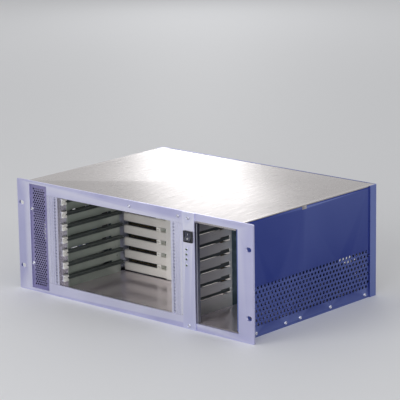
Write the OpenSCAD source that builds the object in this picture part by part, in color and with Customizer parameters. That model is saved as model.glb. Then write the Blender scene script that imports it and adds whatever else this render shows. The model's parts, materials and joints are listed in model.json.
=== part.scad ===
// Rack-mounted card cage, four units high, for seven cards that lie flat, with a module bay.
// Frame: X to the right, Y from the front to the rear, Z up. The origin is the middle of the
// bounding box's base. All sizes are in millimetres.

/* [Rack panel] */
// Width of the front frame over both ears
panel_w = 482.6; // [470:0.1:490]
// Height of the front frame, four rack units less the stacking gap
panel_h = 177; // [170:0.5:190]
// Thickness of the front frame
plate_t = 3; // [2:0.5:5]
// Distance between the rack slots across the frame
rack_w = 465.1; // [460:0.1:470]
// Distance between the rack slots up each ear
rack_h = 101.6; // [80:0.1:120]
// Length of a rack slot
rack_slot_l = 10.3; // [8:0.1:12]
// Height of a rack slot
rack_slot_h = 6.8; // [6:0.1:7.5]
// Radius of the frame's outer corners
corner_r = 1.5; // [0.5:0.5:4]

/* [Chassis] */
// Width over the side walls
body_w = 440; // [430:1:446]
// Height from the base to the top of the cover
body_h = 176; // [172:0.5:188]
// Depth from the back of the front frame to the rear face
body_d = 313; // [290:1:380]
// Thickness of the walls and the cover
sheet_t = 1.5; // [1:0.1:2]
// Thickness of the base and the rear frame
base_t = 2; // [1.5:0.1:3]
// Width of a folded flange
flange_w = 12; // [8:0.5:14]
// Inside radius of a fold
fold_r = 1; // [0.5:0.1:1.5]
// Length of the rear frame's flanges along the side walls
rear_wrap = 17; // [12:1:24]
// Width of the cover's side tabs
tab_w = 10; // [6:1:16]
// Height of the cover's side tabs
tab_h = 5; // [3:0.5:8]
// Distance from the back of the front frame to the middle of a side tab
tab_y = 139; // [100:1:180]
// Height of the raised floors above the base's underside
floor_z = 10; // [8:0.5:11]

/* [Card space] */
// Number of cards
slots = 7; // [5:1:7]
// Distance from one card to the next
pitch = 20.32; // [18:0.01:20.6]
// Clear width between the front rails
card_w = 236; // [225:1:240]
// Sideways place of the middle of the card space
card_x = -35; // [-38:1:-32]
// Overlap of the frame's edge over the outer card places
bar_lip = 1; // [0:0.5:3]
// Length of a card guide with its nose
guide_l = 133.5; // [120:0.5:150]
// Height of a card guide
guide_h = 4.2; // [3.6:0.1:5.5]
// Depth of a card guide from its rib to the cage wall
guide_t = 4.5; // [3.5:0.1:5]
// Width of the groove that a card runs in
groove_w = 2.2; // [1.8:0.1:2.6]
// Depth of that groove
groove_d = 2.5; // [1.5:0.1:2.8]
// Height of a guide's nose
nose_h = 10; // [8:0.5:12]
// Length of a guide's nose
nose_l = 9; // [6:0.5:12]

/* [Front rails] */
// Width of a front rail
rail_w = 23.5; // [22:0.5:26]
// Depth of a front rail
rail_d = 24; // [20:0.5:30]
// Depth of the rail's flush front block
rail_nose = 8.5; // [8:0.5:10]
// Set-back of the rail's body behind its front lip
rail_step = 5.5; // [5:0.1:7]
// Outward lip that backs the grille
rail_back = 4; // [3:0.5:6]
// Width of the groove's mouth in the rail's face
mouth_w = 3.4; // [3:0.1:3.8]
// Distance from the card space to the groove's mouth
mouth_x = 4; // [3.5:0.1:5]
// Width of the tapped strip
strip_w = 5; // [4.6:0.1:5.4]
// Thickness of the tapped strip
strip_t = 3; // [2.6:0.1:3.4]
// Distance between the tapped holes
tap_pitch = 5.08; // [4:0.01:10.16]
// Diameter of the tapped holes
tap_d = 2.5; // [2:0.1:2.8]

/* [Cage walls] */
// Height of the air slots behind the guides
air_h = 6; // [4.5:0.5:8]
// Height of the slots' wide rear part
air_wide_h = 9; // [7:0.5:11]
// Length of the slots' wide rear part
air_wide_l = 22; // [12:1:30]
// Distance from a slot's front end to the front rail
air_front = 8; // [5:1:20]
// Width of the rear guide rails
post_w = 10; // [8:0.5:12]
// Depth of the rear guide rails
post_d = 14; // [10:0.5:18]

/* [Backplane] */
// Distance from the guides' rear ends to the channel bars
bar_gap = 9; // [6:0.5:14]
// Depth of the channel bars
bar_d = 12; // [11:0.5:16]
// Gap between two channel bars, where the sockets stand
bar_slot = 6.5; // [6:0.1:8]
// Thickness of the channel bars
bar_t = 1.2; // [1:0.1:1.6]
// Thickness of the circuit board
board_t = 3; // [2:0.1:4]
// Length of a long edge socket
socket_l = 62; // [50:1:66]
// Length of a middle power socket
power_l = 22; // [16:1:24]
// Set-back of the sockets behind the bars' faces
socket_back = 2; // [1:0.5:4]
// Width of a tie strap
strap_w = 16; // [12:0.5:18]
// Distance from the card space's middle to a strap's middle
strap_x = 23; // [21:0.5:25]
// Length of a coding block
key_l = 9; // [6:0.5:10]

/* [Vent] */
// Distance from the grille to the side of the body
vent_side = 6; // [5:0.5:8]
// Height of the frame above and below the grille
vent_edge = 5; // [4:0.5:8]
// Thickness of the grille
grille_t = 1.2; // [0.8:0.1:1.5]
// Distance between the grille's holes
grille_pitch = 4.2; // [3.6:0.1:6]
// Size of a grille hole across its flats
grille_hole = 2.9; // [2:0.1:3.2]
// Plain border round the grille's holes
grille_edge = 4.5; // [4:0.5:6]
// Distance between the holes in the right wall
vent_pitch = 8; // [5.5:0.05:9]
// Size of a hole in the right wall across its flats
vent_hole = 4.5; // [2:0.1:4.5]
// Height of the perforated field in the right wall
vent_h = 64; // [40:1:90]

/* [Module bay] */
// Distance from the bay's opening to the side of the body
bay_side = 7.5; // [7:0.5:12]
// Height of the frame above and below the bay
bay_edge = 11; // [11:0.5:14]
// Depth of the return behind the bay's left edge
bay_return = 7; // [5:0.5:12]

/* [Controls] */
// Width of the control strip
strip_face_w = 24.5; // [24:0.5:28]
// Thickness of the control strip
strip_face_t = 1.2; // [0.8:0.1:2]
// Size of the switch's square bezel
bezel_w = 17.2; // [16.5:0.1:18]
// Thickness of the bezel
bezel_t = 2; // [1.5:0.1:3]
// Height of the switch's middle
switch_z = 140.5; // [130:0.5:150]
// Depth of the switch body behind the control strip's face
switch_d = 15; // [13:0.5:18]
// Width of the rocker
rocker_w = 11.6; // [10:0.1:12]
// Height of the rocker
rocker_h = 13; // [11:0.1:13.2]
// Travel of the rocker from one side to the other, in degrees
rocker_travel = 14; // [8:1:16]
// Diameter of the rocker's pivot pins
pivot_d = 2.4; // [2:0.1:3]
// Radial clearance of a turning fit
run_gap = 0.05; // [0.02:0.01:0.09]
// Diameter of an indicator lens
led_d = 3; // [2.5:0.1:4]
// Heights of the indicator lenses
led_z = [97, 106, 113.5, 121];
// Set of the lenses from the strip's left edge
led_x = 8.5; // [8:0.5:12]

/* [Fans] */
// Width of a fan frame
fan_w = 119; // [100:1:120]
// Depth of a fan frame
fan_d = 25.4; // [20:0.1:26]
// Thickness of the frame's flanges
fan_flange = 3.5; // [3:0.1:5]
// Bore of the fan's duct
duct_d = 113; // [90:1:114]
// Distance between the fan's fixing holes
fan_holes = 104.8; // [88:0.1:106]
// Diameter of the rotor's hub
hub_d = 42; // [34:1:50]
// Gap between the blades' tips and the duct
tip_gap = 1.5; // [1:0.1:3]
// Number of blades
blades = 7; // [5:1:9]
// Diameter of the rotor's shaft
shaft_d = 5; // [4:0.5:8]
// Distance from the front frame's back to the first fan
fan_y = 26; // [25:1:40]
// Distance between the two fans
fan_gap = 4; // [2:1:10]

/* [Fasteners] */
// Diameter of the panel screws
screw_d = 3; // [2.5:0.5:4]
// Diameter of their heads
head_d = 5.6; // [5:0.1:7]
// Height of their heads
head_t = 1.6; // [1.2:0.1:2.4]
// Length of a screw under its head
screw_l = 7; // [6:0.5:8]
// Radial clearance round a screw
screw_gap = 0.1; // [0.05:0.05:0.3]
// Gap between pieces that slide into each other
slip = 0.15; // [0.05:0.05:0.3]

/* [Rear panel] */
// Thickness of the rear cover panels
rear_t = 1.5; // [1:0.1:3]
// Overlap of a rear cover panel round its opening
rear_lap = 8; // [7:0.5:12]
// Height of the rear frame above and below its openings
rear_edge = 16; // [14:1:24]
// Width of the cut-out for a mains inlet
inlet_w = 27.5; // [27:0.1:30]
// Height of that cut-out
inlet_h = 20; // [19:0.1:22]
// Distance between the inlet's screw holes
inlet_holes = 40; // [38:0.5:42]

/* [Hidden] */
$fn = 32;
eps = 0.01;

// Switch: the rocker's section is set out round its pivot, and it leans by half its travel at rest.
lean = rocker_travel / 2;
rocker_face = 4.6;
rocker_mid = 3.4;
pivot_in = 4.2;
rocker_tip = rocker_face * cos(lean) + rocker_h / 2 * sin(lean);
front_reach = strip_face_t + bezel_t - pivot_in + rocker_tip;
rear_reach = rear_t + head_t;

// Depth: front and back of the frame, rear of the body, inner front of the rear frame.
total_d = plate_t + body_d;
y_front = -(total_d + rear_reach - front_reach) / 2;
y_back = y_front + plate_t;
y_rear = y_back + body_d;
y_inner = y_rear - base_t;
y_in = y_back + sheet_t;

// Width: walls, card space, rails, control strip and bay.
x_wall = body_w / 2 - sheet_t;
x_left = card_x - card_w / 2;
x_right = card_x + card_w / 2;
x_strip = x_right + rail_w;
x_bay = x_strip + strip_face_w;
x_bay_end = body_w / 2 - bay_side;
x_vent = -body_w / 2 + vent_side;
x_vent_end = x_left - rail_w;
x_switch = x_strip + strip_face_w / 2;

// Height: the body's inside, the window and the cards' middle planes.
z_top = body_h - sheet_t;
z_mid = panel_h / 2;
win_h = slots * pitch - 2 * bar_lip;
z_win = z_mid - win_h / 2;
function slot_z(i) = z_mid + (i - (slots - 1) / 2) * pitch;
function bar_z(k) = z_mid + (k - slots / 2) * pitch;

// Card guides: the set-backs u are measured outwards from the clear width.
guide_tip = -3.5;
y_nose = y_front + rail_nose;
y_guide = y_nose + nose_l;
y_guide_end = y_nose + guide_l;
y_wall = y_front + rail_d;
u_wall = rail_step;
u_post = u_wall + sheet_t;
u_bracket = u_post + post_w;

// Backplane.
y_bar = y_guide_end + bar_gap;
y_board = y_bar + bar_d;
bar_h = pitch - bar_slot;
u_bar = 4.5;
board_w = card_w + 2 * u_bracket;
board_h = slots * pitch + 2;
key_x = card_w / 2 - 3 - socket_l - key_l / 2;

// Fans.
x_fan_plate = x_vent_end - 8.6;
fan_z = z_mid;
function fan_mid(i) = y_back + fan_y + fan_w / 2 + i * (fan_w + fan_gap);
stator_d = hub_d - 8;
strut_in = 2;
strut_t = 3;

// Fasteners.
hole_d = screw_d + 2 * screw_gap;
bar_screw_z = z_top - flange_w / 2;
switch_body = bezel_w - 2;
cavity_w = rocker_w + 0.6;
cavity_h = rocker_h + 1.6;

// A plate in the X-Z plane, drawn as a front view, from y to y + t.
module front_plate(y, t) {
  translate([0, y + t, 0]) rotate([90, 0, 0]) linear_extrude(t) children();
}

// A plate in the Y-Z plane, drawn as a view from the right, from x to x + t.
module side_plate(x, t) {
  translate([x, 0, 0]) rotate([90, 0, 90]) linear_extrude(t) children();
}

// A flat outline in the X-Y plane from z to z + t.
module level_plate(z, t) {
  translate([0, 0, z]) linear_extrude(t) children();
}

// A rectangle from one corner to the opposite one.
module area(x0, y0, x1, y1) {
  translate([x0, y0]) square([x1 - x0, y1 - y0]);
}

// A rectangle with round corners, about its middle.
module round_area(w, h, r) {
  square([w - 2 * r, h], center = true);
  square([w, h - 2 * r], center = true);
  for (i = [-1, 1], j = [-1, 1]) translate([i * (w / 2 - r), j * (h / 2 - r)]) circle(r);
}

// A folded sheet's section: legs a along x and b along y from the outer corner at the origin.
module fold_2d(a, b, t) {
  reach = fold_r + t;
  translate([reach, 0]) square([a - reach, t]);
  translate([0, reach]) square([t, b - reach]);
  translate([reach, reach]) difference() {
    intersection() {
      circle(reach);
      translate([-reach, -reach]) square(reach);
    }
    circle(fold_r);
  }
}

// A channel's section: a web of length l along x, with a leg b at each end along y.
module channel_2d(l, b, t) {
  fold_2d(l / 2 + eps, b, t);
  translate([l, 0]) mirror([1, 0]) fold_2d(l / 2 + eps, b, t);
}

// Staggered six-sided holes that fill a field from one corner to the opposite one.
module hex_field(x0, y0, x1, y1, step, flats) {
  row = step * sqrt(3) / 2;
  rows = floor((y1 - y0 - flats) / row);
  cols = floor((x1 - x0 - flats - step / 2) / step);
  for (j = [0:rows], i = [0:cols])
    translate([(x0 + x1) / 2 + (i - cols / 2 + (j % 2) / 2 - 0.25) * step, (y0 + y1) / 2 + (j - rows / 2) * row])
      rotate(30) circle(flats / sqrt(3), $fn = 6);
}

// A pan-head screw that points along +y, its head's underside at the origin.
module screw_y(l) {
  rotate([-90, 0, 0]) cylinder(d = screw_d, h = l);
  rotate([90, 0, 0]) difference() {
    cylinder(d = head_d, h = head_t);
    translate([0, 0, head_t - 0.7]) for (a = [0, 90]) rotate(a) translate([-head_d / 3, -0.4, 0])
      cube([head_d * 2 / 3, 0.8, 1]);
  }
}

// Copies its children to both sides of the card space, with +x pointing outwards from the clear width.
module at_right() { translate([x_right, 0, 0]) children(); }
module at_left() { translate([x_left, 0, 0]) mirror([1, 0, 0]) children(); }

// The front frame is one punched plate with both ears, the card window, the vent and the bay.
module front_frame() {
  color([0.78, 0.79, 0.87]) front_plate(y_front, plate_t) difference() {
    translate([0, z_mid]) round_area(panel_w, panel_h, corner_r);
    for (i = [-1, 1], j = [-1, 1]) translate([i * rack_w / 2, z_mid + j * rack_h / 2])
      rack_slot_2d();
    area(x_vent, vent_edge, x_vent_end + eps, panel_h - vent_edge);
    area(x_vent_end, z_win, x_strip, z_win + win_h);
    area(x_bay, bay_edge, x_bay_end, panel_h - bay_edge);
    translate([x_switch, switch_z]) square(switch_body + 2 * slip, center = true);
    led_window_2d();
    for (x = front_screw_x) translate([x, bar_screw_z]) circle(d = hole_d);
    for (z = strip_screw_z) translate([x_switch, z]) circle(d = hole_d);
  }
}
rail_screw_u = 15;
front_screw_x = [card_x + 35, x_right + rail_screw_u];
strip_screw_z = [floor_z / 2 + 0.5, bar_screw_z];

module rack_slot_2d() {
  straight = rack_slot_l - rack_slot_h;
  square([straight, rack_slot_h], center = true);
  for (i = [-1, 1]) translate([i * straight / 2, 0]) circle(d = rack_slot_h);
}

module led_window_2d() {
  area(x_strip + led_x - 4, led_z[0] - 6, x_strip + led_x + 4, led_z[3] + 6);
}

// Perforated air inlet beside the card window, set behind the frame's face.
module vent_grille() {
  x0 = x_vent + slip;
  x1 = x_vent_end - slip;
  z0 = vent_edge + slip;
  z1 = panel_h - vent_edge - slip;
  color([0.52, 0.51, 0.68]) front_plate(y_back - grille_t, grille_t) difference() {
    area(x0, z0, x1, z1);
    hex_field(x0 + grille_edge, z0 + grille_edge, x1 - grille_edge, z1 - grille_edge, grille_pitch, grille_hole);
    for (z = grille_screw_z) translate([grille_screw_x, z]) circle(d = hole_d);
  }
}
grille_screw_x = x_vent + grille_edge - 1;
grille_screw_z = [vent_edge + 40, panel_h - vent_edge - 40];

module grille_screws() {
  color("silver") for (z = grille_screw_z) translate([grille_screw_x, y_back - grille_t, z]) screw_y(screw_l - 2);
}

// Plain strip over the frame's web, with the switch, four indicators and a screw at each end.
module control_strip() {
  color([0.84, 0.85, 0.93]) front_plate(y_front - strip_face_t, strip_face_t) difference() {
    area(x_strip, 0, x_bay, panel_h);
    translate([x_switch, switch_z]) square(switch_body + 2 * slip, center = true);
    for (z = led_z) translate([x_strip + led_x, z]) circle(d = led_d + 2 * slip);
    for (z = strip_screw_z) translate([x_switch, z]) circle(d = hole_d);
  }
}

module strip_screws() {
  color("silver") for (z = strip_screw_z) translate([x_switch, y_front - strip_face_t, z]) screw_y(screw_l);
}

// Two screws hold the frame's upper bar to the cover's front flange.
module front_screws() {
  color("silver") for (x = front_screw_x) translate([x, y_front, bar_screw_z]) screw_y(screw_l);
}

// Square housing of the power switch: bezel, open body and two bearing holes for the rocker.
module switch_housing() {
  y_face = y_front - strip_face_t;
  color([0.08, 0.08, 0.1]) difference() {
    union() {
      front_plate(y_face - bezel_t, bezel_t) translate([x_switch, switch_z]) round_area(bezel_w, bezel_w, 1);
      front_plate(y_face, switch_d) translate([x_switch, switch_z]) square(switch_body, center = true);
    }
    front_plate(y_face - bezel_t - eps, bezel_t + switch_d - 2) translate([x_switch, switch_z])
      square([cavity_w, cavity_h], center = true);
    translate([x_switch, pivot_y, switch_z]) rotate([0, 90, 0])
      cylinder(d = pivot_d + 2 * run_gap, h = cavity_w + 2.4, center = true);
  }
}
pivot_y = y_front - strip_face_t - bezel_t + pivot_in;

// Rocker with a shallow valley between its two faces and a cam behind its pivot pins.
module switch_rocker() {
  half = rocker_h / 2;
  color([0.12, 0.14, 0.35]) translate([x_switch, pivot_y, switch_z]) rotate([-lean, 0, 0]) {
    side_plate(-rocker_w / 2, rocker_w) polygon([
      [-rocker_face, half], [-rocker_mid, 0], [-rocker_face, -half],
      [-1, -half], [2.4, -half * 0.4], [2.4, half * 0.4], [-1, half]
    ]);
    rotate([0, 90, 0]) cylinder(d = pivot_d, h = cavity_w + 2, center = true);
  }
}

// Domed lenses that stand through the strip from the board behind the web.
module indicator_lenses() {
  colors = ["limegreen", "limegreen", "gold", "red"];
  for (i = [0:3]) color(colors[i]) translate([x_strip + led_x, y_front - strip_face_t - 0.3, led_z[i]]) {
    sphere(d = led_d);
    rotate([-90, 0, 0]) cylinder(d = led_d, h = y_led_board - y_front + strip_face_t + 0.3);
  }
}
y_led_board = y_back + 2.5;

module indicator_board() {
  color("darkgreen") front_plate(y_led_board, 1.6) difference() {
    area(x_strip + led_x - 3.8, led_z[0] - 12, x_strip + led_x + 3.8, led_z[3] + 11);
    for (z = spacer_z) translate([x_strip + led_x, z]) circle(d = 2.2);
  }
}
spacer_z = [led_z[0] - 9, led_z[3] + 8.5];

module board_spacers() {
  color("goldenrod") for (z = spacer_z)
    translate([x_strip + led_x, y_back, z]) rotate([-90, 0, 0]) difference() {
      cylinder(d = 5, h = y_led_board - y_back, $fn = 6);
      translate([0, 0, -1]) cylinder(d = 2.2, h = 6);
    }
}

// Front rail: a flush block with the strip's groove, and a body behind it from base to cover.
// Drawn with u = 0 at the clear width.
module rail_groove_2d() {
  mid = mouth_x + mouth_w / 2;
  area(mouth_x, y_front - 1, mouth_x + mouth_w, y_front + mouth_t + eps);
  area(mid - strip_w / 2 - slip, y_front + mouth_t, mid + strip_w / 2 + slip, y_front + mouth_t + strip_t + slip);
}
mouth_t = 1.6;

module front_rail() {
  level_plate(z_win + slip, win_h - 2 * slip) difference() {
    union() {
      area(0, y_front, rail_w - slip, y_nose);
      area(rail_w - slip - eps, y_back, rail_w + rail_back, y_back + 3);
    }
    rail_groove_2d();
    for (u = [rail_w - 7, rail_w - 13]) translate([u, y_front]) circle(r = 0.5);
  }
  difference() {
    union() {
      level_plate(floor_z, z_top - floor_z - fold_r) rail_body_2d(y_in);
      level_plate(base_t, z_top - base_t) rail_body_2d(y_back + base_t + fold_r);
    }
    translate([rail_screw_u, y_in - 1, bar_screw_z]) rotate([-90, 0, 0]) cylinder(d = hole_d, h = 6);
  }
}
module rail_body_2d(y0) {
  difference() {
    area(rail_step, y0, rail_w, y_wall);
    rail_groove_2d();
    area(rail_step + 5.5, y_wall - 12, rail_w - 3, y_wall + 1);
    translate([rail_step + 3, y_wall - 9]) circle(d = 4.2);
  }
}
module left_front_rail() { color([0.8, 0.81, 0.88]) at_left() front_rail(); }
module right_front_rail() { color([0.8, 0.81, 0.88]) at_right() front_rail(); }

// Strip with threaded holes for the cards' panel screws, slid into the rail's groove.
module tapped_strip() {
  mid = mouth_x + mouth_w / 2;
  count = floor((win_h / 2 - 4) / tap_pitch);
  front_plate(y_front + mouth_t, strip_t) difference() {
    area(mid - strip_w / 2, z_win + slip, mid + strip_w / 2, z_win + win_h - slip);
    for (i = [-count:count]) translate([mid, z_mid + i * tap_pitch]) circle(d = tap_d);
  }
}
module left_tapped_strip() { color("gray") at_left() tapped_strip(); }
module right_tapped_strip() { color("gray") at_right() tapped_strip(); }

// Cage wall: an upright sheet with an air slot behind each guide and a flange on the front rail.
module cage_wall() {
  y0 = y_wall + air_front;
  y1 = y_guide_end - post_d - 4;
  side_plate(u_wall, sheet_t) difference() {
    area(y_wall + fold_r + sheet_t, base_t, y_guide_end, z_top);
    for (i = [0:slots - 1]) translate([0, slot_z(i)]) {
      area(y0, -air_h / 2, y1, air_h / 2);
      area(y1 - air_wide_l, -air_wide_h / 2, y1, air_wide_h / 2);
    }
    for (z = post_screw_z) translate([y_guide_end - post_d / 2, z]) circle(d = hole_d);
  }
  level_plate(base_t, z_top - base_t) translate([u_wall, y_wall])
    fold_2d(flange_w, fold_r + sheet_t + eps, sheet_t);
}
post_screw_z = [for (k = [1, slots - 1]) bar_z(k)];
module left_cage_wall() { color([0.6, 0.63, 0.62]) at_left() cage_wall(); }
module right_cage_wall() { color([0.9, 0.9, 0.9]) at_right() cage_wall(); }

// Upright bar outside the cage wall, behind the guides' rear ends.
module guide_post() {
  level_plate(base_t, z_top - base_t) difference() {
    area(u_post, y_guide_end - post_d, u_bracket, y_guide_end);
    area(u_post + 3, y_guide_end - post_d + 3.5, u_bracket + 1, y_guide_end - 3.5);
  }
}
module left_guide_post() { color([0.2, 0.26, 0.3]) at_left() guide_post(); }
module right_guide_post() { color([0.2, 0.26, 0.3]) at_right() guide_post(); }

// Slim guides, one for each card, with a groove between two ribs.
module card_guides() {
  base = guide_tip + groove_d;
  for (i = [0:slots - 1]) front_plate(y_guide, y_guide_end - y_guide) translate([0, slot_z(i)]) difference() {
    area(guide_tip, -guide_h / 2, u_wall, guide_h / 2);
    area(guide_tip - 1, -groove_w / 2, base, groove_w / 2);
    area(u_wall - guide_t + 1.5, -guide_h / 2 - 1, u_wall - 1.5, -guide_h / 2 + 0.8);
    area(u_wall - guide_t + 1.5, guide_h / 2 - 0.8, u_wall - 1.5, guide_h / 2 + 1);
  }
}
module left_card_guides() { color([0.25, 0.27, 0.27]) at_left() card_guides(); }
module right_card_guides() { color([0.25, 0.27, 0.27]) at_right() card_guides(); }

// White noses with a flared mouth that leads each card into its groove.
module guide_noses() {
  base = guide_tip + groove_d;
  for (i = [0:slots - 1]) translate([0, 0, slot_z(i)]) difference() {
    level_plate(-nose_h / 2, nose_h) area(guide_tip, y_nose, u_wall, y_guide);
    side_plate(guide_tip - 1, groove_d + 1) polygon([
      [y_nose - 1, -groove_w * 1.4], [y_nose, -groove_w * 1.4], [y_guide - 3, -groove_w / 2], [y_guide + 1, -groove_w / 2],
      [y_guide + 1, groove_w / 2], [y_guide - 3, groove_w / 2], [y_nose, groove_w * 1.4], [y_nose - 1, groove_w * 1.4]
    ]);
  }
}
module left_guide_noses() { color("white") at_left() guide_noses(); }
module right_guide_noses() { color("white") at_right() guide_noses(); }

// Raised floors: sheets with their front and rear edges folded down onto the base.
module floor_sheet(x0, x1, y0, y1) {
  side_plate(x0, x1 - x0) translate([y0, floor_z]) mirror([0, 1])
    channel_2d(y1 - y0, floor_z - base_t, sheet_t);
}
module cage_floor() {
  color([0.72, 0.68, 0.69]) floor_sheet(x_left - u_wall, x_right + u_wall, y_in + floor_gap, y_bar - 1);
}
module bay_floor() {
  color([0.72, 0.68, 0.69]) floor_sheet(x_strip + 1.5, body_w / 2 - flange_w - 1, y_in + floor_gap, y_inner - sheet_t - floor_gap);
}
floor_gap = 2;

// Angle behind the web that closes the gap beside the bay's opening.
module bay_return_angle() {
  color([0.3, 0.31, 0.4]) level_plate(bay_edge, panel_h - 2 * bay_edge - 5) translate([x_bay, y_back])
    mirror([1, 0]) fold_2d(return_leg, bay_return, sheet_t);
}
return_leg = (strip_face_w - switch_body) / 2 - 0.5;

// Bracket that carries the backplane from the guide post.
module backplane_bracket() {
  difference() {
    level_plate(base_t + 8, z_top - base_t - 16) translate([u_bracket + sheet_t, y_board]) rotate(180)
      fold_2d(flange_w + sheet_t, y_board - y_guide_end + post_d, sheet_t);
    for (z = board_screw_z) translate([board_screw_x - card_w / 2, y_board - sheet_t - 1, z]) rotate([-90, 0, 0])
      cylinder(d = hole_d, h = sheet_t + 2);
  }
}
module left_backplane_bracket() { color("silver") at_left() backplane_bracket(); }
module right_backplane_bracket() { color("silver") at_right() backplane_bracket(); }

// Circuit board behind the channel bars.
module backplane_board() {
  color([0.1, 0.35, 0.2]) front_plate(y_board, board_t) difference() {
    translate([card_x, z_mid]) square([board_w, board_h], center = true);
    for (i = [-1, 1], z = board_screw_z) translate([card_x + i * board_screw_x, z]) circle(d = hole_d);
  }
}
board_screw_x = card_w / 2 + u_bracket - flange_w / 2;
board_screw_z = [for (k = [0, 2, slots - 2, slots]) bar_z(k) - (k == 0 ? -3 : k == slots ? 3 : 0)];

module backplane_screws() {
  color("silver") for (i = [-1, 1], z = board_screw_z)
    translate([card_x + i * board_screw_x, y_board - sheet_t, z]) screw_y(board_t + sheet_t + 1);
}

// Bright channel-section bars that stand on the board between the rows of sockets.
module channel_bars() {
  color([0.93, 0.92, 0.92]) for (k = [0:slots])
    side_plate(x_left - u_bar, card_w + 2 * u_bar) translate([y_bar, bar_z(k) - bar_h / 2])
      rotate(90) mirror([0, 1]) channel_2d(bar_h, bar_d, bar_t);
}

// Two upright straps tie the bars' faces together.
module tie_straps() {
  color([0.86, 0.88, 0.85]) for (i = [-1, 1]) front_plate(y_bar - bar_t, bar_t)
    area(card_x + i * strap_x - strap_w / 2, bar_z(0) - bar_h / 2, card_x + i * strap_x + strap_w / 2, bar_z(slots) + bar_h / 2);
}

// Edge sockets with an open slot that takes a card's rear edge.
module socket(x, l) {
  h = bar_slot - 0.2;
  y0 = y_bar + socket_back;
  for (i = [0:slots - 1]) translate([x, y0, slot_z(i)]) difference() {
    translate([-l / 2, 0, -h / 2]) cube([l, y_board - y0, h]);
    translate([-l / 2 + 2, -1, -0.95]) cube([l - 4, y_board - y0 - 1, 1.9]);
    translate([-l / 2 + 1, -1, -h / 2 + 1]) cube([l - 2, 2, h - 2]);
  }
}
module edge_sockets() {
  color([0.12, 0.12, 0.13]) for (i = [-1, 1]) socket(card_x + i * (card_w / 2 - 3 - socket_l / 2), socket_l);
}
module power_sockets() {
  color([0.15, 0.15, 0.16]) socket(card_x, power_l);
}

// Pale coding blocks at the inner end of each edge socket.
module coding_blocks() {
  h = bar_slot - 0.2;
  color([0.95, 0.95, 0.93]) for (s = [-1, 1], i = [0:slots - 1])
    translate([card_x + s * key_x, y_bar + 1, slot_z(i)]) difference() {
      translate([-key_l / 2, 0, -h / 2]) cube([key_l, y_board - y_bar - 1, h]);
      translate([-key_l / 2 + 1.5, -1, -1.2]) cube([key_l - 3, 5, 2.4]);
    }
}

// Base with all four edges folded up.
module base_tray() {
  w = body_w - 2 * sheet_t;
  relief = base_t + fold_r + 0.5;
  color([0.45, 0.47, 0.6]) difference() {
    union() {
      front_plate(y_back + relief, y_inner - y_back - 2 * relief) translate([-w / 2, 0])
        channel_2d(w, flange_w, base_t);
      side_plate(-w / 2 + relief, w - 2 * relief) translate([y_back, 0])
        channel_2d(y_inner - y_back, floor_z, base_t);
    }
    for (i = [-1, 1], y = wall_screw_y) translate([i * w / 2, y, flange_w / 2]) rotate([0, 90, 0])
      cylinder(d = hole_d, h = 4 * base_t, center = true);
    translate([x_switch, y_back - 1, strip_screw_z[0]]) rotate([-90, 0, 0]) cylinder(d = hole_d, h = base_t + 2);
  }
}

// Side wall with flanges at the front, the rear and the top, and a notch for the cover's tab.
// Drawn for the right side.
module side_wall(flange_holes = []) {
  notch0 = y_back + tab_y - tab_w / 2 - slip;
  notch1 = y_back + tab_y + tab_w / 2 + slip;
  z_notch = z_top - tab_h - slip;
  end0 = y_back + flange_w + 3;
  end1 = y_inner - flange_w - 3;
  side_plate(x_wall, sheet_t) difference() {
    polygon([
      [y_back, 0], [y_inner - fold_r, 0], [y_inner - fold_r, z_flange], [y_inner - bend, z_flange],
      [y_inner - bend, z_top], [end1, z_top], [end1, z_top - bend], [notch1, z_top - bend],
      [notch1, z_notch], [notch0, z_notch], [notch0, z_top - bend], [end0, z_top - bend],
      [end0, z_top], [y_back + bend, z_top], [y_back + bend, z_flange], [y_back, z_flange]
    ]);
    for (y = wall_screw_y) translate([y, flange_w / 2]) circle(d = hole_d);
    children();
  }
  for (p = [[end0, notch0], [notch1, end1]]) front_plate(p[0], p[1] - p[0])
    translate([body_w / 2, z_top]) rotate(180) fold_2d(flange_w, bend + eps, sheet_t);
  difference() {
    level_plate(z_flange, z_top - z_flange) translate([body_w / 2, y_back]) mirror([1, 0])
      fold_2d(flange_w, bend + eps, sheet_t);
    for (z = flange_holes) translate([-grille_screw_x, y_back - 1, z]) rotate([-90, 0, 0])
      cylinder(d = hole_d, h = sheet_t + 2);
  }
  level_plate(z_flange, z_top - z_flange) translate([body_w / 2, y_inner]) rotate(180)
    fold_2d(flange_w, bend + eps, sheet_t);
}
bend = fold_r + sheet_t;
z_flange = flange_w + 1;
wall_screw_y = [for (y = [27, 94, 128, 200, 285]) y_back + y * body_d / 313];

// Stamped rings in front of a fan, crossed by spokes.
module ring_field_2d() {
  difference() {
    for (r = [hub_d / 2 + 1:9:duct_d / 2 - 6]) difference() {
      circle(r + 6);
      circle(r);
    }
    for (a = [45, 135]) rotate(a) square([duct_d + 10, 5], center = true);
  }
}

module left_side_wall() {
  color([0.42, 0.44, 0.6]) mirror([1, 0, 0]) side_wall(grille_screw_z)
    for (i = [0, 1]) translate([fan_mid(i), fan_z]) ring_field_2d();
}
module right_side_wall() {
  color([0.32, 0.36, 0.6]) side_wall()
    hex_field(y_back + flange_w + 2, flange_w + 2, y_inner - flange_w - 4, flange_w + 2 + vent_h, vent_pitch, vent_hole);
}

module wall_screws() {
  color("silver") for (s = [0, 1]) mirror([s, 0, 0]) for (y = wall_screw_y)
    translate([body_w / 2, y, flange_w / 2]) rotate([0, 0, 90]) screw_y(screw_l - 2);
}

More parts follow.
